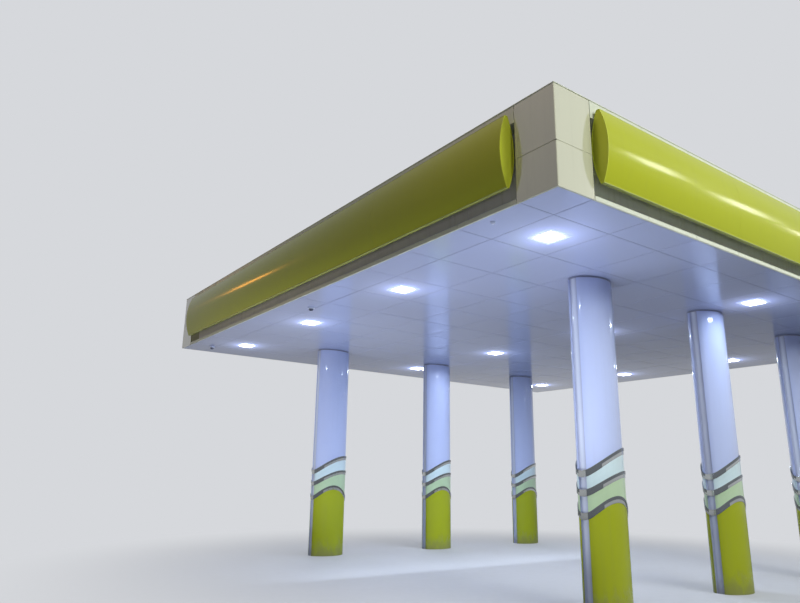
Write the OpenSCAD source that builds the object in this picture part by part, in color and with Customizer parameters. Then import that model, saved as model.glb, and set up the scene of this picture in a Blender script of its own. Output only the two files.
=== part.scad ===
// Filling station canopy: a flat roof on two rows of three oval columns, with a
// deep edge band that carries a long pointed-oval light box on each side.
// Millimetres, +Z up. The origin is at the middle of the plan, on the ground.
// X runs along the long edges and Y along the short ones.

/* [Overall size] */
// Length of the roof along X, over the edge band
roof_x = 13400; // [12600:50:14600]
// Width of the roof along Y, over the edge band
roof_y = 12650; // [12000:50:13800]
// Height of the ceiling above the ground
clear_h = 5000; // [4400:50:5600]
// Height of the edge band
band_h = 1308; // [1300:2:1500]

/* [Columns] */
// Distance between two columns of a row
column_pitch = 3460; // [3000:20:3900]
// Distance between the two rows of columns
row_gap = 8220; // [7000:20:9000]
// How far both rows stand towards the front, off the middle of the roof
row_shift = 60; // [0:5:200]
// Diameter of the steel tube inside a column
core_d = 245; // [200:5:320]
// Wall of the steel tube
core_wall = 12; // [8:1:20]
// Side of the square plate under the tube
foot_w = 400; // [360:5:410]
// Thickness of that plate
foot_t = 25; // [15:1:40]
// Spacing of the four anchor bolt holes in that plate
anchor_gap = 300; // [290:5:310]
// Diameter of those holes
anchor_d = 28; // [22:1:32]
// Length of the oval white cladding, along X
clad_x = 880; // [840:5:940]
// Width of the oval white cladding, along Y
clad_y = 570; // [550:5:620]
// Radius of the tight arcs at the oval's two ends
clad_end = 190; // [175:5:200]
// Thickness of the cladding shells
clad_t = 26; // [22:1:30]
// Width of the flat strip between the two shells
strip_w = 140; // [100:5:150]
// Thickness of that strip
strip_t = 10; // [6:1:14]
// Depth of the strip behind the edges of the shells
strip_in = 16; // [8:1:20]
// Thickness of the sleeve round the lower part
sleeve_t = 8; // [5:1:24]
// Open joint between the cladding and the ceiling
top_gap = 32; // [20:1:60]

/* [Wave trims] */
// Mean height of the lowest trim
wave_1 = 1445; // [1350:5:1500]
// Mean height of the middle trim
wave_2 = 1846; // [1800:2:1900]
// Mean height of the top trim
wave_3 = 2165; // [2130:5:2300]
// Fall of the lowest trim from one side to the other
swing_1 = 20; // [0:5:60]
// Rise of the middle trim from one side to the other
swing_2 = 128; // [60:2:150]
// Rise of the top trim from one side to the other
swing_3 = 170; // [120:2:200]
// Bulge of the lowest trim over the middle
bulge_1 = 130; // [80:2:160]
// Bulge of the two upper trims over the middle
bulge_2 = 55; // [40:1:90]
// Height of a trim
trim_h = 100; // [50:2:120]
// Thickness of a trim
trim_t = 12; // [8:1:18]
// How far the dark bead of a trim stands out of its polished lip
trim_raise = 5; // [2:1:7]
// Distance from a column's axis to the end of the bead's tall part
trim_turn = 270; // [200:5:330]

/* [Ceiling] */
// Thickness of the ceiling panels
panel_t = 30; // [20:1:45]
// Panel length along X
panel_x = 1085; // [1060:5:1140]
// Panel length along Y
panel_y = 1110; // [1080:5:1150]
// First joint across X, from the corner that faces the viewer
first_x = 610; // [560:10:700]
// First joint across Y, from the same corner
first_y = 600; // [560:10:700]
// Width of a joint
joint_w = 10; // [6:1:16]
// Depth of a joint
joint_d = 12; // [6:1:15]
// Side of a square light, inside its rim
light_w = 290; // [240:10:340]
// Width of the rim of a light
light_rim = 67; // [50:1:80]
// How far the rim stands below the ceiling
light_drop = 8; // [5:1:15]
// Depth of the light's tray above the ceiling
light_tray = 80; // [50:5:100]
// How far the lens stands below the rim
lens_drop = 14; // [8:1:24]
// How far the lens's sloped sides lean in
lens_slope = 22; // [10:1:40]
// Diameter of a small dome camera
dome_d = 130; // [90:5:160]
// Distance of the dome cameras from the left edge of the roof
dome_edge = 530; // [400:10:600]
// Place of the first dome camera along that edge, from the front corner
dome_first = 6650; // [6300:50:7000]
// Distance between the two dome cameras
dome_gap = 5250; // [4600:50:5300]
// Distance of the small sensor from the left edge
sensor_edge = 180; // [120:10:300]
// Place of the sensor along that edge, from the front corner
sensor_y = 1230; // [900:10:1500]
// Diameter of the sensor
sensor_d = 70; // [40:5:90]

/* [Edge band] */
// Width of the flush corner panels
corner_w = 645; // [560:5:700]
// Thickness of the folded sheets
sheet_t = 25; // [15:1:35]
// Height of the strip above the recess
lip_top = 229; // [200:1:232]
// Height of the strip below the recess
lip_low = 60; // [50:1:90]
// Depth of the recess
recess_d = 200; // [170:5:260]
// Height of the joint in the corner panels above the ceiling
corner_joint = 575; // [500:5:700]
// Thickness of the whole edge band, over its inner lining
parapet_w = 310; // [290:5:360]
// Thickness of the cap along the top
cap_t = 12; // [8:1:25]
// How far the cap stands out
cap_out = 8; // [4:1:15]

/* [Light boxes] */
// Height of the pointed oval
sign_h = 965; // [900:5:985]
// Thickness of the pointed oval
sign_t = 245; // [200:5:250]
// Width of the blunt edge at the oval's top and bottom
sign_tip = 45; // [30:1:60]
// Distance from the middle of the oval out to the band's face
sign_out = 66; // [64:1:110]
// Height of the oval's middle above the middle of the band
sign_lift = 42; // [0:2:44]
// Distance from the roof's corner to the end of a box
sign_end = 705; // [690:5:800]
// Thickness of the skin
skin_t = 6; // [4:1:12]
// Thickness of the end caps
end_t = 12; // [6:1:20]
// Spacing of the brackets behind the boxes
bracket_pitch = 2200; // [1600:50:3000]

/* [Roof frame] */
// Depth of the main beams
beam_h = 500; // [400:10:540]
// Width of the main beams
beam_w = 200; // [160:5:240]
// Depth of the purlins
purlin_h = 200; // [140:10:240]
// Width of the purlins
purlin_w = 100; // [80:5:140]
// Number of purlins
purlin_n = 8; // [6:2:10]
// Height of the rails that hold the ceiling
rail_h = 60; // [40:5:90]
// Width of those rails
rail_w = 30; // [20:2:40]
// Spacing of the ribs of the roof sheet
rib_pitch = 333; // [250:1:400]
// Height of the ribs
rib_h = 40; // [25:1:60]
// Thickness of the roof sheet
deck_t = 8; // [4:1:12]
// Width of the gutter along the middle
gutter_w = 260; // [200:10:320]
// Depth of the gutter
gutter_h = 120; // [80:5:150]

/* [Hidden] */
// Clearance at curved seats
fit = 0.3;
// Overrun of a cutting shape
over = 2;
// Smoothness of round shapes
round_fn = 96;
// Steps along one wave
wave_n = 16;
// Number of columns in a row
per_row = 3;

half_x = roof_x / 2;
half_y = roof_y / 2;
core_r = core_d / 2;
// The cladding's oval is four arcs that run smoothly into each other: a tight one
// at each end and a wide one along each side
end_d = clad_x / 2 - clad_end;
side_r = (end_d * end_d + clad_y * clad_y / 4 - clad_end * clad_end)
    / (clad_y - 2 * clad_end);
side_d = side_r - clad_y / 2;
// Everything round a column follows that oval, grown or shrunk
trim_in = sleeve_t + fit;
trim_out = trim_in + trim_t;
sleeve_x = clad_x / 2 + sleeve_t;
trim_x = clad_x / 2 + trim_out;
clad_top = clear_h - top_gap;
// Outer face of the flat strip, behind the edges of the shells
strip_face = end_d + sqrt(clad_end * clad_end - strip_w * strip_w / 4) - strip_in;

// Each wave is its mean height, its rise across and its bulge
low_wave = [wave_1, -swing_1, bulge_1];
mid_wave = [wave_2, swing_2, bulge_2];
top_wave = [wave_3, swing_3, bulge_2];

ceiling_top = clear_h + panel_t;
beam_z = ceiling_top + rail_h;
purlin_z = beam_z + beam_h;
deck_z = purlin_z + purlin_h;
band_top = clear_h + band_h;
recess_low = clear_h + lip_low;
recess_top = band_top - lip_top;
back_t = sheet_t;
back_y = recess_d + back_t;
lining_t = sheet_t;
lining_y = parapet_w - lining_t;
sign_z = clear_h + band_h / 2 + sign_lift;
// Radius and offset of the two arcs that make the pointed oval
sign_bow = (sign_t - sign_tip) / 2;
sign_r = (sign_h * sign_h / 4 + sign_bow * sign_bow) / (2 * sign_bow);
sign_d = sign_r - sign_t / 2;
beam_web = 12;
beam_flange = 18;
purlin_web = 8;
purlin_flange = 10;
bracket_t = 12;
bracket_h = 560;
post_w = 70;
gutter_t = 6;
gutter_rest = 40;
rim_edge = light_w / 2 + light_rim;
can_wall = 20;
can_w = light_w + 2 * can_wall;
// How far the lens reaches up behind the rim
lens_up = 5;
dome_base = 28;
dome_ball = dome_d * 0.36;
rib_top = 52;
rib_foot = 94;
// Least distance from a bracket to the end of a light box
bracket_edge = 200;
rail_levels = [150, 1300, 2500, 3800];
rail_plate = 16;

columns = [for (j = [0, 1]) for (i = [0:per_row - 1])
    [(i - (per_row - 1) / 2) * column_pitch, (j - 0.5) * row_gap - row_shift]];
joints_x = [for (x = first_x; x < roof_x - sheet_t - joint_w; x = x + panel_x) x - half_x];
joints_y = [for (y = first_y; y < roof_y - sheet_t - joint_w; y = y + panel_y) y - half_y];
// Lights sit in the middle of every fifth panel along X and every third along Y
lights = [for (i = [0:5:10]) for (j = [0:3:9])
    [joints_x[i] + panel_x / 2, joints_y[j] + panel_y / 2]];
// Two dome cameras along the left edge, and a smaller sensor near the corner
domes = [for (k = [0, 1]) [dome_edge - half_x, dome_first + k * dome_gap - half_y]];
sensor = [sensor_edge - half_x, sensor_y - half_y];
// Joints along which the ceiling is split into three strips
split = [-half_x + sheet_t, joints_x[3], joints_x[8], half_x - sheet_t];

// One of the wide arcs of a column's oval, as a whole circle
module wide_arc(side, grow) {
    translate([0, side * side_d]) circle(r = side_r + grow, $fn = 4 * round_fn);
}

// Plan of a column's cladding, grown or shrunk all round
module plan(grow) {
    for (side = [-1, 1]) translate([side * end_d, 0]) circle(r = clad_end + grow, $fn = round_fn);
    intersection() {
        wide_arc(-1, grow);
        wide_arc(1, grow);
        square([2 * end_d * (side_r + grow) / (side_r - clad_end), 2 * clad_y], center = true);
    }
}

// An oval shell between two heights
module shell(outer, inner, low, high) {
    translate([0, 0, low]) linear_extrude(height = high - low) difference() {
        plan(outer);
        plan(inner);
    }
}

// Opens a shell at both ends, which leaves a front half and a back half
module side_gaps(high) {
    difference() {
        children();
        translate([-trim_x, -strip_w / 2, -over]) cube([2 * trim_x, strip_w, high + 2 * over]);
    }
}

// Height of a wave at a place across the column
function wave_at(w, x) = w[0] + w[1] * x / sleeve_x - w[2] * (2 * x * x / (sleeve_x * sleeve_x) - 1);

// The space between two waves, right through a column
module between_waves(low, high, drop, rise) {
    reach = trim_x + over;
    xs = [for (i = [0:wave_n]) reach * (2 * i / wave_n - 1)];
    lower = [for (x = xs) [x, wave_at(low, x) + drop]];
    upper = [for (i = [wave_n:-1:0]) [xs[i], wave_at(high, xs[i]) + rise]];
    rotate([90, 0, 0])
        linear_extrude(height = 2 * reach, center = true)
            polygon(concat(lower, upper));
}

// One half-shell pair of the sleeve, cut to two waves
module sleeve_band(low, high) {
    intersection() {
        side_gaps(clear_h) shell(sleeve_t, fit, 0, wave_3 + swing_3 + 2 * bulge_2);
        between_waves(low, high, 0, 0);
    }
}

module at_column(i) {
    translate([columns[i][0], columns[i][1], 0]) children();
}

module at_columns() {
    for (i = [0:len(columns) - 1]) at_column(i) children();
}

module column_cores() {
    color("slategray") at_columns() {
        difference() {
            translate([-foot_w / 2, -foot_w / 2, 0]) cube([foot_w, foot_w, foot_t]);
            for (sx = [-1, 1]) for (sy = [-1, 1])
                translate([sx * anchor_gap / 2, sy * anchor_gap / 2, -over])
                    cylinder(d = anchor_d, h = foot_t + 2 * over, $fn = round_fn);
        }
        difference() {
            translate([0, 0, foot_t]) cylinder(r = core_r, h = beam_z - foot_t, $fn = round_fn);
            core_bore(core_wall);
        }
        difference() {
            for (z = rail_levels) translate([0, 0, z])
                linear_extrude(height = rail_plate) plan(-clad_t - fit);
            core_bore(core_wall / 2);
        }
    }
}

// The room inside a column's tube, up to part of its wall
module core_bore(wall) {
    cylinder(r = core_r - wall, h = beam_z + over, $fn = round_fn);
}

module column_cladding(i) {
    color("white") at_column(i) side_gaps(clear_h) shell(0, -clad_t, 0, clad_top);
}

// Two flat strips that close the gaps between the half-shells
module column_strips() {
    color("lightsteelblue") at_columns()
        for (side = [-1, 1]) translate([side * (strip_face - strip_t / 2), 0, clad_top / 2])
            cube([strip_t, strip_w, clad_top], center = true);
}

module column_sleeve(i) {
    color("yellowgreen") at_column(i) intersection() {
        side_gaps(clear_h) shell(sleeve_t, fit, 0, wave_1 + swing_1 + 2 * bulge_1);
        between_waves([-over, 0, 0], low_wave, 0, 0);
    }
}

module sleeve_bands_green() {
    color("darkseagreen") at_columns() sleeve_band(low_wave, mid_wave);
}

module sleeve_bands_pale() {
    color("honeydew") at_columns() sleeve_band(mid_wave, top_wave);
}

// A ring that follows a wave, from a drop below it to a rise above it
module wave_ring(w, outer, drop, rise) {
    swing = abs(w[1]) + 2 * w[2] + trim_h;
    intersection() {
        shell(outer, trim_in, w[0] - swing, w[0] + swing);
        between_waves(w, w, drop, rise);
    }
}

// Three trims round each column: a flat polished lip with a raised dark bead on its
// upper half, which grows to the whole height where the wave climbs from its trough
module wave_trims() {
    color("silver") at_columns() for (w = [low_wave, mid_wave, top_wave]) {
        wave_ring(w, trim_out - trim_raise, -trim_h / 2, trim_h / 2);
        wave_ring(w, trim_out, 0, trim_h / 2);
        intersection() {
            wave_ring(w, trim_out, -trim_h / 2, trim_h / 2);
            translate([-trim_x - over, -trim_x, 0])
                cube([trim_x + over - trim_turn, 2 * trim_x, clear_h]);
        }
    }
}

module column_collars() {
    color("dimgray") at_columns() shell(-clad_t / 2, -2 * clad_t, clad_top, clear_h);
}

// I section along Y, standing on z = 0
module i_beam(h, w, web, flange, length) {
    rotate([90, 0, 0]) linear_extrude(height = length, center = true) {
        translate([-w / 2, 0]) square([w, flange]);
        translate([-web / 2, 0]) square([web, h]);
        translate([-w / 2, h - flange]) square([w, flange]);
    }
}

module main_beams() {
    color("slategray") for (i = [0:per_row - 1]) translate([columns[i][0], 0, beam_z])
        i_beam(beam_h, beam_w, beam_web, beam_flange, roof_y - 2 * parapet_w);
}

module purlins() {
    reach = half_y - parapet_w - purlin_w;
    color("slategray") for (i = [0:purlin_n - 1])
        translate([0, reach * (2 * i / (purlin_n - 1) - 1), purlin_z])
            rotate([0, 0, 90])
                i_beam(purlin_h, purlin_w, purlin_web, purlin_flange, roof_x - 2 * parapet_w);
}

// Rails along X above the ceiling joints, cut round the columns and the lights
module ceiling_rails() {
    color("gray") difference() {
        for (y = joints_y) if (abs(y) < half_y - parapet_w - rail_w)
            translate([-half_x + parapet_w, y - rail_w / 2, ceiling_top])
                cube([roof_x - 2 * parapet_w, rail_w, rail_h]);
        at_columns() translate([0, 0, ceiling_top - over])
            cylinder(r = core_r + fit, h = rail_h + 2 * over, $fn = round_fn);
        for (p = lights) translate([p[0] - can_w / 2, p[1] - can_w / 2, ceiling_top - over])
            cube([can_w, can_w, rail_h + 2 * over]);
    }
}

// One strip of the ceiling between two joints, with its cut-outs and grooves
module ceiling(k) {
    color("whitesmoke") difference() {
        translate([split[k], -half_y + sheet_t, clear_h])
            cube([split[k + 1] - split[k], roof_y - 2 * sheet_t, panel_t]);
        at_columns() translate([0, 0, clear_h - over])
            cylinder(r = core_r + fit, h = panel_t + 2 * over, $fn = round_fn);
        for (p = lights) translate([p[0] - can_w / 2, p[1] - can_w / 2, clear_h - over])
            cube([can_w, can_w, panel_t + 2 * over]);
        for (x = joints_x) translate([x - joint_w / 2, -half_y, clear_h - over])
            cube([joint_w, roof_y, joint_d + over]);
        for (y = joints_y) translate([-half_x, y - joint_w / 2, clear_h - over])
            cube([roof_x, joint_w, joint_d + over]);
    }
}

// A tray that is open below, with a flat rim under the ceiling
module light_trays() {
    color("gainsboro") for (p = lights) translate([p[0], p[1], clear_h]) difference() {
        union() {
            translate([-rim_edge, -rim_edge, -light_drop]) cube([2 * rim_edge, 2 * rim_edge, light_drop]);
            translate([-can_w / 2, -can_w / 2, 0]) cube([can_w, can_w, light_tray]);
        }
        translate([-light_w / 2, -light_w / 2, -light_drop - over])
            cube([light_w, light_w, light_tray + over]);
    }
}

// A shallow pan that hangs below the rim, with four sloped sides
module light_lenses() {
    color("white") for (p = lights) translate([p[0], p[1], clear_h - light_drop])
        intersection() {
            lens_profile();
            rotate([0, 0, 90]) lens_profile();
        }
}

module lens_profile() {
    wide = light_w / 2;
    low = wide - lens_slope;
    rotate([90, 0, 0]) linear_extrude(height = light_w, center = true)
        polygon([[-wide, 0], [-low, -lens_drop], [low, -lens_drop], [wide, 0],
            [wide, lens_up], [-wide, lens_up]]);
}

module camera_bases() {
    color("whitesmoke") for (p = domes) translate([p[0], p[1], clear_h - dome_base])
        cylinder(d = dome_d, h = dome_base, $fn = round_fn);
}

module camera_domes() {
    color("black") {
        for (p = domes) translate([p[0], p[1], clear_h - dome_base]) dome(dome_ball);
        translate([sensor[0], sensor[1], clear_h]) dome(sensor_d / 2);
    }
}

// Lower half of a ball
module dome(r) {
    difference() {
        sphere(r = r, $fn = round_fn);
        translate([-r - over, -r - over, 0]) cube([2 * (r + over), 2 * (r + over), r + over]);
    }
}

// Ribbed roof sheet in two halves, one on each side of the gutter
module roof_deck() {
    width = roof_x - 2 * parapet_w;
    n = floor(width / rib_pitch);
    start = -n * rib_pitch / 2;
    ribs = [for (i = [n - 1:-1:0]) let (x = start + (i + 0.5) * rib_pitch) each [
        [x + rib_foot / 2, deck_t], [x + rib_top / 2, deck_t + rib_h],
        [x - rib_top / 2, deck_t + rib_h], [x - rib_foot / 2, deck_t]]];
    outline = concat([[-width / 2, 0], [width / 2, 0], [width / 2, deck_t]], ribs,
        [[-width / 2, deck_t]]);
    long = half_y - parapet_w - gutter_w / 2;
    color("lightgray") for (side = [-1, 1])
        translate([0, side * (gutter_w / 2 + long / 2), deck_z])
            rotate([90, 0, 0]) linear_extrude(height = long, center = true) polygon(outline);
}

module roof_gutter() {
    wide = gutter_w / 2;
    color("gray") rotate([90, 0, 90])
        linear_extrude(height = roof_x - 2 * parapet_w, center = true)
            translate([0, deck_z]) polygon([
                [-wide - gutter_rest, 0], [-wide - gutter_rest, -gutter_t],
                [-wide, -gutter_t], [-wide, -gutter_h], [wide, -gutter_h],
                [wide, -gutter_t], [wide + gutter_rest, -gutter_t], [wide + gutter_rest, 0],
                [wide - gutter_t, 0], [wide - gutter_t, gutter_t - gutter_h],
                [gutter_t - wide, gutter_t - gutter_h], [gutter_t - wide, 0]]);
}

// Puts a shape on one side of the roof: its front face is at y = 0, inwards is +y
module on_side(i) {
    rotate([0, 0, 90 * i]) translate([0, i % 2 == 0 ? -half_y : -half_x, 0]) children();
}

function side_length(i) = i % 2 == 0 ? roof_x : roof_y;

// Four bars round the roof, between two distances from its edge: the bars along
// X run through at the corners, and those along Y stand between them
module edge_bars(outer, inner, low, high) {
    for (i = [0:3]) {
        length = side_length(i) - 2 * (i % 2 == 0 ? outer : inner);
        on_side(i) translate([-length / 2, outer, low]) cube([length, inner - outer, high - low]);
    }
}

module parapet_lining() {
    color("lightgray") edge_bars(lining_y, parapet_w, ceiling_top, band_top);
}

module roof_cap() {
    color("ivory") edge_bars(-cap_out, parapet_w + cap_out, band_top, band_top + cap_t);
}

// Places of the brackets along a side, spread evenly about its middle
function bracket_places(i) =
    let (n = floor((side_length(i) - 2 * sign_end - 2 * bracket_edge) / bracket_pitch))
    [for (k = [0:n]) (k - n / 2) * bracket_pitch];

module band_posts() {
    color("slategray") for (i = [0:3]) on_side(i) for (x = bracket_places(i))
        translate([x - post_w / 2, back_y, ceiling_top])
            cube([post_w, lining_y - back_y, band_top - ceiling_top]);
}

// Corner panel with a wing on each side, returns into the recess, one level joint
// and an open joint beside the strips
module corner_panel(sx, sy) {
    color("ivory") translate([sx * half_x, sy * half_y, clear_h])
        mirror([sx > 0 ? 1 : 0, 0, 0]) mirror([0, sy > 0 ? 1 : 0, 0]) difference() {
            union() {
                corner_wing();
                mirror([1, -1, 0]) corner_wing();
            }
            for (turn = [0, 1]) mirror([turn, -turn, 0]) {
                translate([-over, -over, corner_joint - joint_w / 2])
                    cube([corner_w + 2 * over, joint_d + over, joint_w]);
                translate([corner_w - joint_w, -over, -over])
                    cube([joint_w + over, joint_d + over, band_h + 2 * over]);
            }
        }
}

module corner_wing() {
    cube([corner_w, sheet_t, band_h]);
    translate([corner_w - sheet_t, 0, 0]) cube([sheet_t, back_y, band_h]);
}

// The strips above and below each recess, folded inwards
module band_strips() {
    color("ivory") for (i = [0:3]) on_side(i)
        rotate([90, 0, 90]) linear_extrude(height = side_length(i) - 2 * corner_w, center = true) {
            translate([0, recess_top]) polygon([[0, 0], [back_y, 0], [back_y, sheet_t],
                [sheet_t, sheet_t], [sheet_t, lip_top], [0, lip_top]]);
            translate([0, clear_h]) polygon([[0, 0], [sheet_t, 0], [sheet_t, lip_low - sheet_t],
                [back_y, lip_low - sheet_t], [back_y, lip_low], [0, lip_low]]);
        }
}

module recess_backs() {
    color("dimgray") for (i = [0:3]) on_side(i)
        translate([corner_w - side_length(i) / 2, recess_d, recess_low])
            cube([side_length(i) - 2 * corner_w, back_t, recess_top - recess_low]);
}

// Pointed oval with blunt tips, grown by a clearance or shrunk by a wall
module oval(grow) {
    intersection() {
        translate([sign_d, 0]) circle(r = sign_r + grow, $fn = 4 * round_fn);
        translate([-sign_d, 0]) circle(r = sign_r + grow, $fn = 4 * round_fn);
        square([2 * sign_t, sign_h + 2 * grow], center = true);
    }
}

// Runs an outline along a side, centred on the light box
module along_side(length) {
    translate([0, -sign_out, sign_z]) rotate([90, 0, 90])
        linear_extrude(height = length, center = true) children();
}

module sign_box(i) {
    color("yellowgreen") on_side(i) along_side(side_length(i) - 2 * sign_end - 2 * end_t)
        difference() {
            oval(0);
            oval(-skin_t);
        }
}

module sign_end_caps() {
    color("olivedrab") for (i = [0:3]) on_side(i) for (side = [-1, 1])
        translate([side * (side_length(i) / 2 - sign_end - end_t / 2), 0, 0])
            along_side(end_t) oval(0);
}

// Upright plates between the recess back and the curved back of a box
module sign_brackets() {
    color("gray") for (i = [0:3]) on_side(i) difference() {
        for (x = bracket_places(i)) translate([x - bracket_t / 2, -sign_out, sign_z - bracket_h / 2])
            cube([bracket_t, recess_d + sign_out, bracket_h]);
        along_side(side_length(i)) oval(fit);
    }
}

column_cores();
column_cladding(0);  // column_cladding_1
column_cladding(1);  // column_cladding_2
column_cladding(2);  // column_cladding_3
column_cladding(3);  // column_cladding_4
column_cladding(4);  // column_cladding_5
column_cladding(5);  // column_cladding_6
column_strips();
column_sleeve(0);  // column_sleeve_1
column_sleeve(1);  // column_sleeve_2
column_sleeve(2);  // column_sleeve_3
column_sleeve(3);  // column_sleeve_4
column_sleeve(4);  // column_sleeve_5
column_sleeve(5);  // column_sleeve_6
sleeve_bands_green();
sleeve_bands_pale();
wave_trims();
column_collars();
main_beams();
purlins();
ceiling_rails();
ceiling(0);  // ceiling_1
ceiling(1);  // ceiling_2
ceiling(2);  // ceiling_3
light_trays();
light_lenses();
camera_bases();
camera_domes();
roof_deck();
roof_gutter();
parapet_lining();
band_posts();
roof_cap();
corner_panel(-1, -1);  // corner_panel_1
corner_panel(1, -1);  // corner_panel_2
corner_panel(1, 1);  // corner_panel_3
corner_panel(-1, 1);  // corner_panel_4
band_strips();
recess_backs();
sign_box(0);  // sign_box_front
sign_box(1);  // sign_box_right
sign_box(2);  // sign_box_back
sign_box(3);  // sign_box_left
sign_end_caps();
sign_brackets();
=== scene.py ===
"""Looks of the filling station canopy: finishes, folded sheets, joints, trims and lights."""

import math
import random
from itertools import product

import bmesh
import bpy
from mathutils import Matrix, Vector


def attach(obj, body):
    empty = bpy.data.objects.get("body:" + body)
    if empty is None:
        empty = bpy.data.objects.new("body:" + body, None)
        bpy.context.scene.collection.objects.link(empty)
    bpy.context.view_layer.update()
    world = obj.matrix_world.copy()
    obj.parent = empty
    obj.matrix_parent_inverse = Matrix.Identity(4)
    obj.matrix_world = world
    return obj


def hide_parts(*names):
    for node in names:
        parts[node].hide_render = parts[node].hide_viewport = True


ops = bmesh.ops

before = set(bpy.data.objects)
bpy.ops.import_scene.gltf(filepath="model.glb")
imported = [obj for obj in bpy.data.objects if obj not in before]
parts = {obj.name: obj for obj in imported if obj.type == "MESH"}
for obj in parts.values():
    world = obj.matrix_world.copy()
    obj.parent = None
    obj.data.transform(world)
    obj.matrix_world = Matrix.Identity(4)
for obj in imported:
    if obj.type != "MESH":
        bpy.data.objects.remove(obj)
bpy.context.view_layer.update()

# Sizes of the construction, in metres
ROOF = (13.4, 12.65)
HALF = (ROOF[0] / 2, ROOF[1] / 2)
CEILING = 5.0
BAND_H = 1.308
BAND_TOP = CEILING + BAND_H
CAP_T = 0.012
CAP_OUT = 0.008
COLUMN_PITCH = 3.46
ROWS = (-4.170, 4.050)
COLUMNS = [((i - 1) * COLUMN_PITCH, y) for y in ROWS for i in range(3)]
CLAD = (0.880, 0.570)
CLAD_END = 0.190
CLAD_T = 0.026
CLAD_TOP = CEILING - 0.032
END_D = CLAD[0] / 2 - CLAD_END
SIDE_R = (END_D ** 2 + CLAD[1] ** 2 / 4 - CLAD_END ** 2) / (CLAD[1] - 2 * CLAD_END)
SIDE_D = SIDE_R - CLAD[1] / 2
SIDE_TURN = math.degrees(math.atan2(END_D, SIDE_D))
SLEEVE_T = 0.008
SLEEVE_X = CLAD[0] / 2 + SLEEVE_T
FIT = 0.0003
STRIP_W = 0.140
STRIP_FACE = END_D + math.sqrt(CLAD_END ** 2 - STRIP_W ** 2 / 4) - 0.016
TRIM_T = 0.012
TRIM_OUT = SLEEVE_T + FIT + TRIM_T
TRIM_RAISE = 0.005
TRIM_H = 0.100
TRIM_TURN = 0.270
WAVES = ((1.445, -0.020, 0.130), (1.846, 0.128, 0.055), (2.165, 0.170, 0.055))
FIRST = (0.610, 0.600)
PANEL = (1.085, 1.110)
JOINT = 0.010
SHEET = 0.025
CORNER_W = 0.645
CORNER_JOINT = 0.575
FOOT_GAP = 0.0015
LIP_TOP = 0.229
LIP_LOW = 0.060
RECESS = 0.200
PARAPET = 0.310
SIGN_H = 0.965
SIGN_T = 0.2445
SIGN_TIP = 0.045
SIGN_OUT = 0.066
SIGN_Z = CEILING + BAND_H / 2 + 0.042
SIGN_END = 0.705
SIGN_CAP = 0.012
SIGN_BOW = (SIGN_T - SIGN_TIP) / 2
SIGN_R = (SIGN_H ** 2 / 4 + SIGN_BOW ** 2) / (2 * SIGN_BOW)
SIGN_D = SIGN_R - SIGN_T / 2
LIGHT_W = 0.290
LIGHT_RIM = 0.067
LIGHT_OUT = LIGHT_W / 2 + LIGHT_RIM
LIGHT_DROP = 0.008
LIGHT_CAN = 0.330
LIGHT_H = 0.080
LENS_DROP = 0.014
LENS_SLOPE = 0.022
LENS_UP = 0.005
DOMES = ((-6.17, 0.325), (-6.17, 5.575))
SENSOR = (-6.52, -5.095)
DECK_Z = 5.790
RIB_TOP = DECK_Z + 0.048
PURLINS = 8
RIB_PITCH = 0.333

# Small sizes of the looks alone, in metres
HAIR = 0.0002
EDGE_GAP = 0.001
TRAY_LIFT = 0.0008
TRAY_H = 0.018
FOLD = 0.0025
TRAY_BOW = 0.0005
TRAY_TIP = 0.0003
CAN_GAP = 0.002
SEAL_W = 0.030
SEAL_IN = 0.003
CHANNEL_GAP = 0.0008
CHANNEL_LIP = 0.007
CHANNEL_D = 0.010
CROWN = ((0.0036, 0.036), (0.0048, 0.022), (0.0054, 0.008))
ROLL = 0.003
ARRIS = 0.012
LENGTH_GAP = 0.003
SKIN_T = 0.005
STRAP_REACH = 0.05
COVER_REACH = 0.03

chance = random.Random(11)


def joint_lines(axis):
    """Places of the ceiling joints along X or Y."""
    lines = []
    at = FIRST[axis]
    while at < ROOF[axis] - SHEET - JOINT:
        lines.append(at - HALF[axis])
        at += PANEL[axis]
    return lines


JOINTS_X = joint_lines(0)
JOINTS_Y = joint_lines(1)
LIGHTS = [(JOINTS_X[i] + PANEL[0] / 2, JOINTS_Y[j] + PANEL[1] / 2)
          for i in (0, 5, 10) for j in (0, 3, 6, 9)]


# ---- shader nodes

def rgb(red, green, blue):
    """A screen colour, 0 to 255, as the linear colour a socket takes."""
    def linear(part):
        part /= 255
        return part / 12.92 if part <= 0.04045 else ((part + 0.055) / 1.055) ** 2.4
    return (linear(red), linear(green), linear(blue), 1.0)


def wire(tree, socket, value):
    """Links an input to another node's output, or sets its value."""
    if isinstance(value, bpy.types.NodeSocket):
        tree.links.new(value, socket)
    else:
        socket.default_value = value


def feed(tree, node, **inputs):
    """Wires a node's inputs by name, with _ for a space."""
    for name, value in inputs.items():
        wire(tree, node.inputs[name.replace("_", " ")], value)


def put(tree, kind, *first, **named):
    """Adds a node. Its first inputs come in order, capitalised names are more inputs, and
    the other names are properties."""
    made = tree.nodes.new(kind)
    for name, value in named.items():
        if name.islower():
            setattr(made, name, value)
    for socket, value in zip(made.inputs, first):
        wire(tree, socket, value)
    feed(tree, made, **{name: value for name, value in named.items() if not name.islower()})
    return made


def maths(tree, operation, *values, clamp=False):
    """A Math node on sockets or numbers; gives its output."""
    return put(tree, "ShaderNodeMath", *values, operation=operation, use_clamp=clamp).outputs[0]


def vector_maths(tree, operation, *values):
    """A Vector Math node; gives its two outputs, a vector and a number."""
    return put(tree, "ShaderNodeVectorMath", *values, operation=operation).outputs


def axes(tree, vector):
    """The three numbers of a vector."""
    return put(tree, "ShaderNodeSeparateXYZ", vector).outputs


def centred(tree, value):
    """A value from 0 to 1, moved to lie about 0."""
    return maths(tree, "SUBTRACT", value, 0.5)


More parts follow.
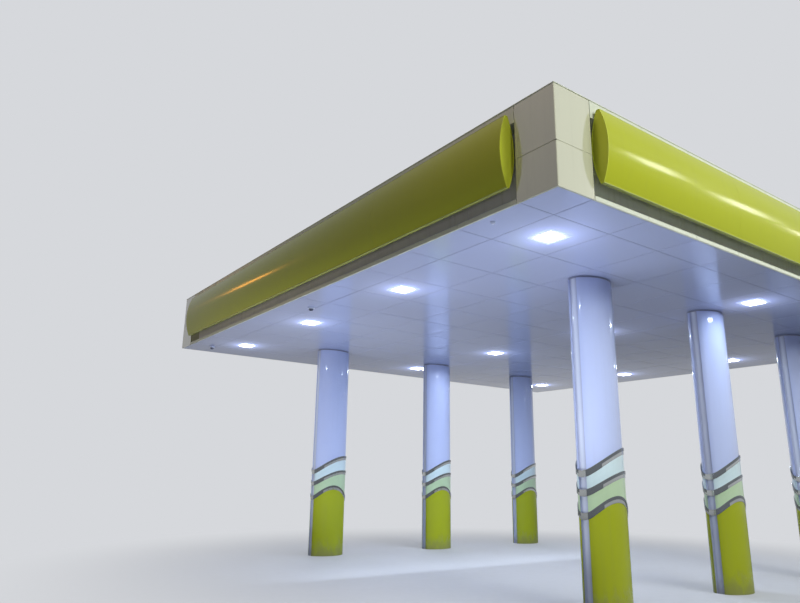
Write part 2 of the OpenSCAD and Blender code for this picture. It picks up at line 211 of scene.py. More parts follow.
def toned(tree, color, shade):
    """A colour made lighter or darker."""
    return put(tree, "ShaderNodeHueSaturation", Color=color, Value=shade).outputs[0]


def mixed(tree, factor, low, high):
    """A mix of two colours."""
    made = put(tree, "ShaderNodeMix", factor, data_type="RGBA")
    wire(tree, made.inputs[6], low)
    wire(tree, made.inputs[7], high)
    return made.outputs[2]


def noise(tree, place, scale, detail=2.0, rough=0.5, stretch=None):
    """Noise at a place, from 0 to 1; stretch squeezes the pattern along the axes."""
    if stretch:
        place = put(tree, "ShaderNodeMapping", Vector=place, Scale=stretch).outputs[0]
    return put(tree, "ShaderNodeTexNoise", Vector=place, Scale=scale, Detail=detail,
               Roughness=rough).outputs["Fac"]


def ramp(tree, value, low, high, to_low=0.0, to_high=1.0):
    """Maps a value smoothly from one range to another."""
    return put(tree, "ShaderNodeMapRange", value, low, high, to_low, to_high,
               interpolation_type="SMOOTHSTEP", clamp=True).outputs[0]


def seen_by(tree, *rays):
    """1 for a ray of any of these kinds, and else 0."""
    path = put(tree, "ShaderNodeLightPath")
    seen, *others = (path.outputs["Is %s Ray" % ray] for ray in rays)
    for other in others:
        seen = maths(tree, "MAXIMUM", seen, other)
    return seen


# ---- shared effects

def group(name, takes, gives):
    """A node group with sockets listed by name and kind; gives tree, inputs and end node."""
    tree = bpy.data.node_groups.new(name, "ShaderNodeTree")
    for way, sockets in (("INPUT", takes), ("OUTPUT", gives)):
        for each in sockets.split(", "):
            label, kind = each.rsplit(" ", 1)
            tree.interface.new_socket(label, in_out=way, socket_type="NodeSocket" + kind)
    return tree, tree.nodes.new("NodeGroupInput").outputs, tree.nodes.new("NodeGroupOutput")


def make_painted_sheet():
    """Paint on sheet metal: broad tone, run-off streaks, dust and orange peel."""
    tree, given, result = group(
        "painted_sheet",
        "Place Vector, Paint Color, Dust Color, Tone Float, Streak Float, Gloss Float, Wave Float",
        "Color Color, Roughness Float, Height Float")
    place = given["Place"]
    broad = centred(tree, noise(tree, place, 0.7, 3.0))
    paint = toned(tree, given["Paint"], maths(tree, "MULTIPLY_ADD", broad, given["Tone"], 1.0))
    streaks = ramp(tree, noise(tree, place, 1.0, 5.0, 0.62, (11.0, 11.0, 0.55)), 0.46, 0.78)
    specks = ramp(tree, noise(tree, place, 55.0, 3.0, 0.7), 0.62, 0.80)
    soil = maths(tree, "MULTIPLY_ADD", specks, 0.25, streaks)
    soil = maths(tree, "MULTIPLY", soil, given["Streak"], clamp=True)
    rough = maths(tree, "MULTIPLY_ADD", soil, 0.35, given["Gloss"])
    peel = maths(tree, "MULTIPLY", noise(tree, place, 95.0, 2.0, 0.55), 0.35)
    wave = noise(tree, place, 2.2, 1.0, 0.4)
    feed(tree, result, Color=mixed(tree, soil, paint, given["Dust"]),
         Roughness=maths(tree, "MULTIPLY_ADD", broad, 0.06, rough, clamp=True),
         Height=maths(tree, "MULTIPLY_ADD", wave, given["Wave"], peel))
    return tree


def make_panel_field():
    """Panels between joints: a tone for each panel and grime that gathers at the joints."""
    tree, given, result = group(
        "panel_field", "Place Vector, First Vector, Pitch Vector, Reach Float",
        "Panel Float, Grime Float")
    away = vector_maths(tree, "SUBTRACT", given["Place"], given["First"])[0]
    count = vector_maths(tree, "DIVIDE", away, given["Pitch"])[0]
    cell = put(tree, "ShaderNodeTexWhiteNoise", Vector=vector_maths(tree, "FLOOR", count)[0])
    part = axes(tree, vector_maths(tree, "FRACTION", count)[0])
    size = axes(tree, given["Pitch"])
    near = []
    for axis in (0, 1):
        metres = maths(tree, "MULTIPLY", maths(tree, "PINGPONG", part[axis], 0.5), size[axis])
        share = maths(tree, "DIVIDE", metres, given["Reach"])
        near.append(maths(tree, "SUBTRACT", 1.0, share, clamp=True))
    edge = maths(tree, "POWER", maths(tree, "MAXIMUM", *near), 1.6)
    patch = ramp(tree, noise(tree, given["Place"], 7.0, 4.0, 0.6), 0.30, 0.72)
    feed(tree, result, Panel=cell.outputs["Value"], Grime=maths(tree, "MULTIPLY", edge, patch))
    return tree


def make_foot_soil():
    """Splashed dirt near the ground, and a thinner veil of dust higher up."""
    tree, given, result = group("foot_soil", "Place Vector, Top Float", "Soil Float")
    height = maths(tree, "DIVIDE", axes(tree, given["Place"])[2], given["Top"])
    share = maths(tree, "SUBTRACT", 1.0, height, clamp=True)
    splash = noise(tree, given["Place"], 9.0, 6.0, 0.68, (1.0, 1.0, 0.5))
    spread = ramp(tree, maths(tree, "MULTIPLY_ADD", share, 0.55, splash), 0.62, 1.05)
    feed(tree, result, Soil=maths(tree, "MULTIPLY", spread, share))
    return tree


def make_rolled_metal():
    """Fine parallel marks of rolling or brushing, along one direction."""
    tree, given, result = group(
        "rolled_metal", "Place Vector, Metal Color, Gloss Float, Spangle Float",
        "Color Color, Roughness Float, Height Float")
    place = given["Place"]
    marks = noise(tree, place, 1.0, 4.0, 0.6, (14.0, 14.0, 420.0))
    cloud = maths(tree, "MULTIPLY_ADD", centred(tree, noise(tree, place, 3.5, 3.0)), 0.22, 1.0)
    flakes = put(tree, "ShaderNodeTexVoronoi", Vector=place, Scale=38.0)
    grey = put(tree, "ShaderNodeSeparateColor", flakes.outputs["Color"]).outputs[0]
    spangle = maths(tree, "MULTIPLY", centred(tree, grey), given["Spangle"])
    feed(tree, result, Height=marks,
         Color=toned(tree, given["Metal"], maths(tree, "ADD", cloud, spangle)),
         Roughness=maths(tree, "MULTIPLY_ADD", centred(tree, marks), 0.22, given["Gloss"],
                         clamp=True))
    return tree


def make_edge_shade():
    """Painted shade: soft dark lines in the grooves on both sides of a column strip, where shade
    falls.
    """
    tree, given, result = group(
        "edge_shade", "Place Vector, Row Float, Half Pitch Float, Half Width Float",
        "Shade Float")
    away = maths(tree, "SUBTRACT", axes(tree, given["Place"])[1], given["Row"])
    off = maths(tree, "PINGPONG", away, given["Half Pitch"])
    share = maths(tree, "DIVIDE", off, given["Half Width"])
    feed(tree, result, Shade=ramp(tree, share, 0.10, 1.0))
    return tree


def make_painted_halo():
    """Painted light: how strongly the painted glow round a lens lights the sheets around it; lenses
    sit on an even grid.
    """
    tree, given, result = group(
        "painted_lens_halo", "Place Vector, First Vector, Half Pitch Vector, Reach Float", "Spill Float")
    away = axes(tree, vector_maths(tree, "SUBTRACT", given["Place"], given["First"])[0])
    pitch = axes(tree, given["Half Pitch"])
    apart = 1.0
    for axis in (0, 1):
        near = maths(tree, "PINGPONG", away[axis], pitch[axis])
        share = maths(tree, "DIVIDE", near, given["Reach"])
        apart = maths(tree, "MULTIPLY_ADD", share, share, apart)
    feed(tree, result, Spill=maths(tree, "POWER", apart, -1.7))
    return tree


PAINTED = make_painted_sheet()
FIELD = make_panel_field()
FOOT = make_foot_soil()
PAINTED_HALO = make_painted_halo()
GROOVE_SHADE = make_edge_shade()
ROLLED = make_rolled_metal()


# ---- finishes

# Colour of the painted halo of light round each lens
HALO_TINT = rgb(185, 200, 255)
PANEL_TONE = 0.02
PANEL_GRIME = 0.20
FOOT_DIRT = 0.55


def blank(name, **inputs):
    """A material with its shader set; gives material, tree, shader and place."""
    material = bpy.data.materials.new(name)
    material.use_nodes = True
    tree = material.node_tree
    shader = tree.nodes["Principled BSDF"]
    feed(tree, shader, **inputs)
    return material, tree, shader, put(tree, "ShaderNodeTexCoord").outputs["Object"]


def effect(tree, source, place, **inputs):
    """Puts a shared effect into a material; gives its outputs."""
    return put(tree, "ShaderNodeGroup", node_tree=source, Place=place, **inputs).outputs


def bump(tree, shader, height, strength, distance):
    made = put(tree, "ShaderNodeBump", Strength=strength, Distance=distance, Height=height)
    feed(tree, shader, Normal=made.outputs[0])


def painted(name, paint, dust=(112, 108, 98), tone=0.05, streak=0.12, gloss=0.28, coat=0.0,
            foot=0.0, peel=0.06, wave=3.0, panels=False, spill=False, groove_shade=None, **inputs):
    """Painted sheet metal, with foot soil, a field of panels, or a painted halo of a lens's light
    where asked.
    """
    material, tree, shader, place = blank(name, Coat_Roughness=0.03, Coat_Weight=coat, **inputs)
    dust = rgb(*dust)
    skin = effect(tree, PAINTED, place, Paint=rgb(*paint), Dust=dust, Tone=tone, Streak=streak,
                  Gloss=gloss, Wave=wave)
    color, rough = skin["Color"], skin["Roughness"]
    if panels:
        field = effect(tree, FIELD, place, First=(JOINTS_X[0], JOINTS_Y[0], -50.0),
                       Pitch=(PANEL[0], PANEL[1], 100.0), Reach=0.06)
        shade = maths(tree, "MULTIPLY_ADD", centred(tree, field["Panel"]), PANEL_TONE, 1.0)
        dirt = maths(tree, "MULTIPLY", field["Grime"], PANEL_GRIME)
        color = mixed(tree, dirt, toned(tree, color, shade), dust)
        rough = maths(tree, "MULTIPLY_ADD", dirt, 0.3, rough)
    # Painted shade in the grooves on both sides of a column strip
    if groove_shade:
        edge = effect(tree, GROOVE_SHADE, place, Row=ROWS[0], Half_Pitch=(ROWS[1] - ROWS[0]) / 2,
                      Half_Width=STRIP_W / 2)
        color = mixed(tree, edge["Shade"], color, rgb(*groove_shade))
    if foot:
        soil = effect(tree, FOOT, place, Top=foot)
        dirt = maths(tree, "MULTIPLY", soil["Soil"], FOOT_DIRT)
        color = mixed(tree, dirt, color, dust)
        rough = maths(tree, "MULTIPLY_ADD", dirt, 0.5, rough)
    # Painted light: a halo of each lens's light, glowing on the sheets round it
    if spill:
        glow = effect(tree, PAINTED_HALO, place, First=LIGHTS[0] + (0,), Reach=0.34,
                      Half_Pitch=(2.5 * PANEL[0], 1.5 * PANEL[1], 1.0))
        feed(tree, shader, Emission_Strength=1.4,
             Emission_Color=mixed(tree, glow["Spill"], (0.0, 0.0, 0.0, 1.0), HALO_TINT))
    feed(tree, shader, Base_Color=color, Roughness=rough)
    bump(tree, shader, skin["Height"], peel, 0.004)
    return material


def metal(name, colour, gloss=0.3, spangle=0.0, peel=0.05, metallic=1.0):
    """Bare or galvanised metal."""
    material, tree, shader, place = blank(name, Metallic=metallic)
    skin = effect(tree, ROLLED, place, Metal=rgb(*colour), Gloss=gloss, Spangle=spangle)
    feed(tree, shader, Base_Color=skin["Color"], Roughness=skin["Roughness"])
    bump(tree, shader, skin["Height"], peel, 0.002)
    return material


def lit_lens(name):
    """Frosted light cover over a grid of lamps."""
    material, tree, shader, place = blank(name, Roughness=0.35, Emission_Strength=9.0)
    cells = put(tree, "ShaderNodeTexVoronoi", Vector=place, Scale=1 / 0.045,
                Randomness=0.0).outputs["Distance"]
    glow = ramp(tree, cells, 0.1, 0.85, 1.0, 0.0)
    feed(tree, shader,
         Emission_Color=mixed(tree, glow, rgb(214, 224, 250), rgb(250, 252, 255)),
         Base_Color=mixed(tree, glow, rgb(228, 232, 242), rgb(246, 248, 252)))
    bump(tree, shader, cells, 0.3, 0.002)
    return material


finishes = {
    "frame_steel": metal("steel_galvanised", (150, 154, 158), 0.45, 0.22, 0.08),
    "cladding_white": painted(
        "column_white", (190, 202, 242), tone=0.02, streak=0.04, gloss=0.24, coat=0.7, wave=1.5,
        IOR=1.22),
    # The strip's groove colour is painted shade along its edges
    "strip_grey": painted(
        "strip_blue_grey", (218, 226, 246), tone=0.03, streak=0.06, gloss=0.24, foot=0.5, coat=0.5,
        groove_shade=(174, 182, 214)),
    "sleeve_green": painted(
        "sleeve_green", (166, 176, 33), tone=0.04, streak=0.06, gloss=0.20, coat=0.15, foot=0.6,
        wave=1.5, IOR=1.3),
    "sleeve_light_green": painted(
        "sleeve_light_green", (188, 214, 176), tone=0.03, streak=0.04, gloss=0.22, coat=0.4,
        wave=1.5),
    "sleeve_pale_green": painted(
        "sleeve_pale_green", (210, 231, 238), tone=0.03, streak=0.04, gloss=0.22, coat=0.4,
        wave=1.5),
    "trim_steel": metal("trim_polished", (190, 193, 192), 0.20, 0.0, 0.02),
    # Dark polished metal for the trims' beads: painted shade and painted dark reflection
    "trim_painted_shade": metal("trim_polished_painted_shade", (120, 125, 128), 0.22, 0.0, 0.02),
    # The collars are real parts; their paint, darker than the columns', is partly their own colour
    # and partly painted shade in the gap under the ceiling
    "collar_dark": painted("collar_dark", (142, 148, 172), tone=0.05, streak=0.15, gloss=0.5),
    # The ceiling carries a painted halo of light round each lens
    "ceiling_white": painted(
        "ceiling_white", (180, 191, 230), dust=(150, 152, 174), tone=0.03, streak=0.03, gloss=0.16,
        coat=0.6, wave=0.4, peel=0.03, panels=True, spill=True, Coat_IOR=1.5, IOR=1.25),
    "joint_seal": painted("joint_seal", (128, 134, 164), tone=0.05, streak=0.1, gloss=0.6, IOR=1.2),
    # The light rims carry the same painted halo of light
    "light_rim": painted(
        "light_rim_white", (205, 214, 236), tone=0.03, streak=0.05, gloss=0.35, spill=True),
    "light_lens": lit_lens("light_lens"),
    "dome_dark": painted("dome_grey", (92, 98, 120), tone=0.1, streak=0.05, gloss=0.08, coat=0.6),
    "roof_sheet": metal("roof_zinc", (176, 180, 182), 0.42, 0.16, 0.06, 0.85),
    "band_ivory": painted(
        "band_ivory", (196, 197, 173), dust=(136, 130, 114), tone=0.03, streak=0.08, gloss=0.14,
        coat=1.0, wave=0.8, peel=0.04, IOR=1.25, Coat_IOR=1.85),
    "lip_ivory": painted(
        "lip_ivory", (214, 219, 204), dust=(136, 130, 114), tone=0.03, streak=0.08, gloss=0.35,
        IOR=1.25),
    "band_seal": painted("band_seal", (190, 191, 168), tone=0.05, streak=0.1, gloss=0.6),
    "recess_grey": painted(
        "recess_grey", (238, 240, 252), dust=(130, 128, 122), tone=0.06, streak=0.15, gloss=0.45),
    "sign_green": painted(
        "sign_green", (181, 189, 42), dust=(128, 124, 84), tone=0.03, streak=0.05, gloss=0.13,
        wave=1.2, peel=0.04, IOR=1.22),
    # The end caps' green is painted lighter than the boxes' green: painted light on ends that sit
    # in shade
    "sign_cap_green": painted(
        "sign_cap_green", (196, 206, 60), dust=(116, 114, 76), tone=0.05, streak=0.10, gloss=0.30,
        IOR=1.3),
    "sign_rim_green": painted(
        "sign_rim_green", (176, 186, 104), tone=0.04, streak=0.08, gloss=0.3, IOR=1.3),
}


# ---- shaping

def add_box(bm, low, high):
    """A box between two corners; gives its vertices."""
    made = ops.create_cube(bm, size=1.0)["verts"]
    low, high = Vector(low), Vector(high)
    ops.scale(bm, vec=high - low, verts=made)
    ops.translate(bm, vec=(low + high) / 2, verts=made)
    return made


def round_edges(bm, width, segments=2, verts=None, over=0.5):
    """Rounds the sharp edges among some vertices, or everywhere."""
    chosen = None if verts is None else set(verts)
    edges = [e for e in bm.edges
             if len(e.link_faces) == 2 and e.calc_face_angle(0) > over
             and (chosen is None or (e.verts[0] in chosen and e.verts[1] in chosen))]
    bevel(bm, edges, width, segments)


def bevel(bm, edges, width, segments):
    ops.bevel(bm, geom=edges, offset=width, segments=segments, profile=0.5,
              affect="EDGES", material=-1)


def of_kind(geom, kind):
    """The vertices or faces among what a step has made."""
    return [g for g in geom if isinstance(g, kind)]


def add_prism(bm, outline, lift):
    """A closed outline of points, pushed along a vector; gives all its vertices."""
    base = [bm.verts.new(p) for p in outline]
    made = ops.extrude_face_region(bm, geom=[bm.faces.new(base)])["geom"]
    top = of_kind(made, bmesh.types.BMVert)
    ops.translate(bm, vec=lift, verts=top)
    return base + top


def lowest_face(bm, verts):
    """The lowest face of a body, found by the body's vertices."""
    verts = set(verts)
    return min((f for f in bm.faces if f.verts[0] in verts),
               key=lambda f: f.calc_center_median().z)


def join(bm, other, shift=(0, 0)):
    """Adds one bmesh to another, moved in plan, and frees it."""
    ops.translate(other, vec=(*shift, 0), verts=other.verts)
    scratch = bpy.data.meshes.new("scratch")
    other.to_mesh(scratch)
    other.free()
    bm.from_mesh(scratch)
    bpy.data.meshes.remove(scratch)


def side_length(i):
    return ROOF[0] if i % 2 == 0 else ROOF[1]


def put_on_side(bm, side, i):
    """Adds a shape to one side of the roof: its front face is at y = 0, inwards is +y."""
    reach = HALF[1] if i % 2 == 0 else HALF[0]
    turn = Matrix.Rotation(math.radians(90 * i), 4, "Z") @ Matrix.Translation((0, -reach, 0))
    ops.transform(side, matrix=turn, verts=side.verts)
    join(bm, side)


def side_joints(i):
    """Half the length between the corner panels of a side, and the joints in between."""
    reach = side_length(i) / 2 - CORNER_W
    placed = [p if i in (0, 1) else -p for p in (JOINTS_X if i % 2 == 0 else JOINTS_Y)]
    return reach, sorted(p for p in placed if abs(p) < reach - 0.05)


def even_marks(reach, lengths=4):
    """The ends of some equal lengths along a side."""
    return [-reach + 2 * reach * n / lengths for n in range(lengths + 1)]


def place_object(name, data):
    made = bpy.data.objects.new(name, data)
    bpy.context.scene.collection.objects.link(made)
    return made


def finish_piece(name, bm, slot, stands_for=(), look=None, smooth=None, weld=True, turn=True):
    """Makes a bmesh a named piece that rides on the canopy."""
    if weld:
        ops.remove_doubles(bm, verts=bm.verts, dist=1e-6)
    if turn:
        ops.recalc_face_normals(bm, faces=bm.faces)
    mesh = bpy.data.meshes.new(name)
    bm.to_mesh(mesh)
    bm.free()
    mesh.materials.append(finishes[look or slot])
    piece = place_object(name, mesh)
    if smooth:
        mesh.polygons.foreach_set("use_smooth", [True] * len(mesh.polygons))
        mesh.set_sharp_from_angle(angle=math.radians(smooth))
        # Flat sheets stay flat right up to their rounded edges
        piece.modifiers.new("even_normals", "WEIGHTED_NORMAL").keep_sharp = True
    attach(piece, "root")
    if stands_for:
        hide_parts(*stands_for)


# ---- ceiling

def ceiling_tray(low, high, light):
    """One folded tray of the ceiling, faintly bowed, with a square hole where a light sits."""
    bm = bmesh.new()
    low = [p + (JOINT / 2 if p > SHEET - h else EDGE_GAP) for p, h in zip(low, HALF)]
    high = [p - (JOINT / 2 if p < h - SHEET else EDGE_GAP) for p, h in zip(high, HALF)]
    size = [b - a for a, b in zip(low, high)]
    middle = [(a + b) / 2 for a, b in zip(low, high)]
    steps = 1 if light else 4
    made = ops.create_grid(bm, x_segments=steps, y_segments=steps, size=0.5)["verts"]
    ops.scale(bm, vec=(*size, 1), verts=made)
    ops.translate(bm, vec=(*middle, CEILING + TRAY_LIFT), verts=made)
    if light:
        half = LIGHT_CAN / 2 + CAN_GAP
        for axis, side in product((0, 1), (-1, 1)):
            normal = Vector((1 - axis, axis, 0))
            ops.bisect_plane(bm, geom=bm.verts[:] + bm.edges[:] + bm.faces[:],
                             plane_co=normal * (light[axis] + side * half), plane_no=normal)
        hole = [f for f in bm.faces
                if (f.calc_center_median().xy - Vector(light)).length < half / 2]
        ops.delete(bm, geom=hole, context="FACES")
    else:
        bow = chance.uniform(-TRAY_BOW, TRAY_BOW)
        tip_x, tip_y = chance.uniform(-TRAY_TIP, TRAY_TIP), chance.uniform(-TRAY_TIP, TRAY_TIP)
        for v in made:
            u = 2 * (v.co.x - low[0]) / size[0] - 1
            w = 2 * (v.co.y - low[1]) / size[1] - 1
            v.co.z += bow * (1 - u * u) * (1 - w * w) + tip_x * u + tip_y * w
    shown = bm.verts[:]
    back = ops.extrude_face_region(bm, geom=bm.faces[:])["geom"]
    ops.translate(bm, vec=(0, 0, TRAY_H), verts=of_kind(back, bmesh.types.BMVert))
    round_edges(bm, FOLD, 2, shown, 1.0)
    ops.recalc_face_normals(bm, faces=bm.faces)
    return bm


def make_ceiling():
    xs, ys = ([SHEET - half] + joints + [half - SHEET]
              for half, joints in zip(HALF, (JOINTS_X, JOINTS_Y)))
    for k, (start, end) in enumerate(((0, 4), (4, 9), (9, len(xs) - 1)), 1):
        bm = bmesh.new()
        for i, j in product(range(start, end), range(len(ys) - 1)):
            lights = [p for p in LIGHTS if xs[i] < p[0] < xs[i + 1] and ys[j] < p[1] < ys[j + 1]]
            join(bm, ceiling_tray((xs[i], ys[j]), (xs[i + 1], ys[j + 1]), *(lights or [None])))
        finish_piece("ceiling_panels_%d" % k, bm, "ceiling_white", ["ceiling_%d" % k],
                     smooth=35, weld=False, turn=False)
    bm = bmesh.new()
    for x in JOINTS_X:
        add_box(bm, (x - SEAL_W / 2, ys[0], CEILING + 0.0040),
                (x + SEAL_W / 2, ys[-1], CEILING + 0.0090))
    for y in JOINTS_Y:
        add_box(bm, (xs[0], y - SEAL_W / 2, CEILING + 0.0041),
                (xs[-1], y + SEAL_W / 2, CEILING + 0.0089))
    finish_piece("ceiling_joint_seal", bm, "collar_dark", look="joint_seal", weld=False)


def make_lights():
    """Flanged trays, each let into one panel, with a frosted pan that hangs in the rim."""
    rims, pans, screws = bmesh.new(), bmesh.new(), bmesh.new()
    seat = CEILING - LIGHT_DROP
    inset = LIGHT_OUT - LIGHT_RIM * 0.45
    for x, y in LIGHTS:
        rim = add_box(rims, (x - LIGHT_OUT, y - LIGHT_OUT, seat),
                      (x + LIGHT_OUT, y + LIGHT_OUT, CEILING - HAIR))
        low = lowest_face(rims, rim)
        for width, step in ((0.010, 0), (0.004, -0.002), (LIGHT_RIM - 0.020, 0), (0.004, -0.003)):
            ops.inset_individual(rims, faces=[low], thickness=width, depth=step)
        half = LIGHT_CAN / 2
        can = add_box(rims, (x - half, y - half, CEILING + HAIR),
                      (x + half, y + half, CEILING + LIGHT_H))
        round_edges(rims, 0.002, 2, rim + can, 1.0)
        half = LIGHT_W / 2
        pan = add_box(pans, (x - half, y - half, seat), (x + half, y + half, seat + LENS_UP))
        low = lowest_face(pans, pan)
        sides = ops.inset_individual(pans, faces=[low], thickness=LENS_SLOPE, depth=0)
        ops.translate(pans, vec=(0, 0, -LENS_DROP), verts=low.verts[:])
        whole = pan + [v for f in sides["faces"] + [low] for v in f.verts]
        round_edges(pans, 0.004, 3, whole, 0.35)
        for across, along in product((-inset, inset), repeat=2):
            head = ops.create_uvsphere(screws, u_segments=10, v_segments=6,
                                       radius=0.006)["verts"]
            ops.scale(screws, vec=(1, 1, 0.4), verts=head)
            ops.translate(screws, vec=(x + across, y + along, seat + 0.002), verts=head)
    finish_piece("light_rims", rims, "light_rim", ["light_trays"], smooth=35)
    finish_piece("light_pans", pans, "light_lens", ["light_lenses"], smooth=35)
    finish_piece("light_rim_screws", screws, "trim_steel", smooth=60)


def spun(bm, profile, centre, steps=48):
    """A closed round body under the ceiling: a profile of (radius, drop) points, turned about
    a vertical axis."""
    points = [bm.verts.new((centre[0] + r, centre[1], CEILING - drop)) for r, drop in profile]
    edges = [bm.edges.new(pair) for pair in zip(points, points[1:])]
    ops.spin(bm, geom=points + edges, cent=(*centre, 0), axis=(0, 0, 1), dvec=(0, 0, 0),
             angle=math.tau, steps=steps, use_merge=True, use_duplicate=False)


def dome_profile(radius, height, drop, steps=10):
    """Points of a hanging dome, from its rim at a drop down to its lowest point."""
    return [(radius * math.cos(t * math.pi / 2 / steps),
             drop + height * math.sin(t * math.pi / 2 / steps)) for t in range(steps + 1)]


def make_cameras():
    housing = [(0, 0.0005), (0.062, 0.0005), (0.065, 0.004), (0.065, 0.016), (0.061, 0.024),
               (0.052, 0.028), (0.049, 0.026), (0, 0.026)]
    sensor = [(0, 0.0005), (0.035, 0.0005), (0.035, 0.004)] + dome_profile(0.030, 0.029, 0.005)
    bm, glass = bmesh.new(), bmesh.new()
    for centre in DOMES:
        spun(bm, housing, centre)
        spun(glass, [(0, 0.025)] + dome_profile(0.0466, 0.0466, 0.027), centre)
    spun(bm, sensor, SENSOR)
    finish_piece("camera_housings", bm, "light_rim", ["camera_bases"], smooth=40)
    finish_piece("camera_glass", glass, "dome_dark", ["camera_domes"], smooth=40)


# ---- columns

def wave_line(wave, rise=0.0):
    """The height of a wave, or a line beside it, as a function of the place across a column."""
    mean, swing, bulge = wave

    def height(x):
        u = x / SLEEVE_X
        return mean + swing * u - bulge * (2 * u * u - 1) + rise
    return height


def level(height):
    return lambda x: height


def oval_arcs(start, end):
    """The arcs of a column's oval between two directions that its outside faces, in degrees."""
    turns = (90 - SIDE_TURN, 90 + SIDE_TURN, 270 - SIDE_TURN, 270 + SIDE_TURN)
    marks = [start] + [m for m in turns if start < m < end] + [end]
    arcs = []
    for first, last in zip(marks, marks[1:]):
        facing = math.radians((first + last) / 2)
        if abs(math.cos(facing)) > math.sin(math.radians(SIDE_TURN)):
            arcs.append(((math.copysign(END_D, math.cos(facing)), 0, 0), CLAD_END, first, last))
        else:
            arcs.append(((0, -math.copysign(SIDE_D, math.sin(facing)), 0), SIDE_R, first, last))
    return arcs


def bent_sheet(grow, start, end, low, high, thickness, fold, rows=1, fine=2.0):
    """A sheet bent along a column's oval between two directions, its lower and upper edge
    given as functions of x; it lies outside the oval by some growth, with its wall inwards."""
    bm = bmesh.new()
    arcs = oval_arcs(start, end)
    centre, radius, first, last = arcs[0]
    turn, reach = math.radians(first), radius + grow
    foot = (centre[0] + reach * math.cos(turn), centre[1] + reach * math.sin(turn))
    line = [bm.verts.new((*foot, n / rows)) for n in range(rows + 1)]
    geom = line + [bm.edges.new(pair) for pair in zip(line, line[1:])]
    for centre, radius, first, last in arcs:
        steps = max(1, round((last - first) / (fine if radius == SIDE_R else 2 * fine)))
        geom = ops.spin(bm, geom=geom, cent=centre, axis=(0, 0, 1), dvec=(0, 0, 0),
                        angle=math.radians(last - first), steps=steps, use_merge=False,
                        use_duplicate=False)["geom_last"]
    ops.remove_doubles(bm, verts=bm.verts, dist=1e-5)
    for v in bm.verts:
        bottom, top = low(v.co.x), high(v.co.x)
        v.co.z = bottom + v.co.z * (top - bottom)
    ops.recalc_face_normals(bm, faces=bm.faces)
    bm.faces.ensure_lookup_table()
    sample = bm.faces[0]
    if sample.normal.xy.dot(sample.calc_center_median().xy) < 0:
        ops.reverse_faces(bm, faces=bm.faces)
    ops.solidify(bm, geom=bm.faces, thickness=thickness)
    for v in bm.verts:
        if end - start < 360 and abs(v.co.y) < STRIP_W / 2:
            v.co.y = math.copysign(STRIP_W / 2, v.co.y)
    ops.recalc_face_normals(bm, faces=bm.faces)
    round_edges(bm, fold, 2, over=0.9)
    return bm


def gap_angle(grow):
    """Direction in which the oval faces at the edge of the strip's gap, in degrees."""
    return math.degrees(math.asin(STRIP_W / 2 / (CLAD_END + grow)))


def column_shells(name, slot, stands_for, columns, low, high, grow=SLEEVE_T,
                  thickness=SLEEVE_T - FIT, rows=1):
    bm = bmesh.new()
    gap = gap_angle(grow)
    for c, (start, end) in product(columns, ((180 + gap, 360 - gap), (gap, 180 - gap))):
        join(bm, bent_sheet(grow, start, end, low, high, thickness, ROLL, rows, 1.6), COLUMNS[c])
    finish_piece(name, bm, slot, [stands_for], smooth=40, weld=False, turn=False)


def make_columns():
    lines = [wave_line(wave) for wave in WAVES]
    under = [wave_line(wave, -EDGE_GAP) for wave in WAVES]
    for c in range(6):
        column_shells("column_shells_%d" % (c + 1), "cladding_white",
                      "column_cladding_%d" % (c + 1), [c], level(0.0), level(CLAD_TOP), 0,
                      CLAD_T, 8)
        column_shells("sleeve_shells_%d" % (c + 1), "sleeve_green",
                      "column_sleeve_%d" % (c + 1), [c], level(0.0), under[0], rows=3)
    column_shells("sleeve_bands_light", "sleeve_light_green", "sleeve_bands_green", range(6),
                  lines[0], under[1])
    column_shells("sleeve_bands_top", "sleeve_pale_green", "sleeve_bands_pale", range(6),
                  lines[1], lines[2])


def make_strips():
    """Crowned channels that close the gaps between the half-shells."""
    bm = bmesh.new()
    half = STRIP_W / 2 - CHANNEL_GAP
    crown = [(0.0, half - 0.013), *CROWN]
    crown += [(rise, -across) for rise, across in reversed(crown)]
    for (x, y), side in product(COLUMNS, (-1, 1)):
        back, lip = side * (STRIP_FACE - CHANNEL_D), side * (STRIP_FACE + CHANNEL_D)
        outline = [(back, -half), (back, half), (lip, half), (lip, half - CHANNEL_LIP)]
        outline += [(side * (STRIP_FACE + rise), across) for rise, across in crown]
        outline += [(lip, CHANNEL_LIP - half), (lip, -half)]
        base = add_prism(bm, [(x + a, y + b, 0.0) for a, b in outline], (0, 0, CLAD_TOP))
        round_edges(bm, 0.0012, 1, base, 0.6)
    finish_piece("column_channels", bm, "strip_grey", ["column_strips"], smooth=25)


def make_trims():
    """Polished lip with a dark bead that follows each wave; the bead's dark colour is painted shade
    and painted dark reflection.
    """
    half = TRIM_H / 2
    turn = math.degrees(math.acos(-TRIM_TURN / (SIDE_R + TRIM_OUT)))
    climb = 138
    strip = gap_angle(TRIM_OUT)
    lips, beads = bmesh.new(), bmesh.new()
    for centre, wave in product(COLUMNS, WAVES):
        flat, middle, crest = (wave_line(wave, rise) for rise in (-half, 0.002, half))
        join(lips, bent_sheet(TRIM_OUT - TRIM_RAISE, 0, 360, flat, crest, TRIM_T - TRIM_RAISE,
                              ROLL), centre)
        # The dark bead runs full height on some stretches and over the upper half on others, as
        # painted shade and painted dark reflection
        arcs = ((180 + strip, 360 - turn, flat), (360 - turn, 360 - strip, middle),
                (strip, turn, middle), (turn, climb, flat), (climb, 180 - strip, middle))
        for start, end, low in arcs:
            join(beads, bent_sheet(TRIM_OUT, start, end, low, crest, TRIM_RAISE - HAIR, 0.002),
                 centre)
    finish_piece("wave_trim_lips", lips, "trim_steel", ["wave_trims"], smooth=40, weld=False,
                 turn=False)
    finish_piece("wave_trim_beads", beads, "trim_steel", look="trim_painted_shade", smooth=40, weld=False,
                 turn=False)


# ---- edge band

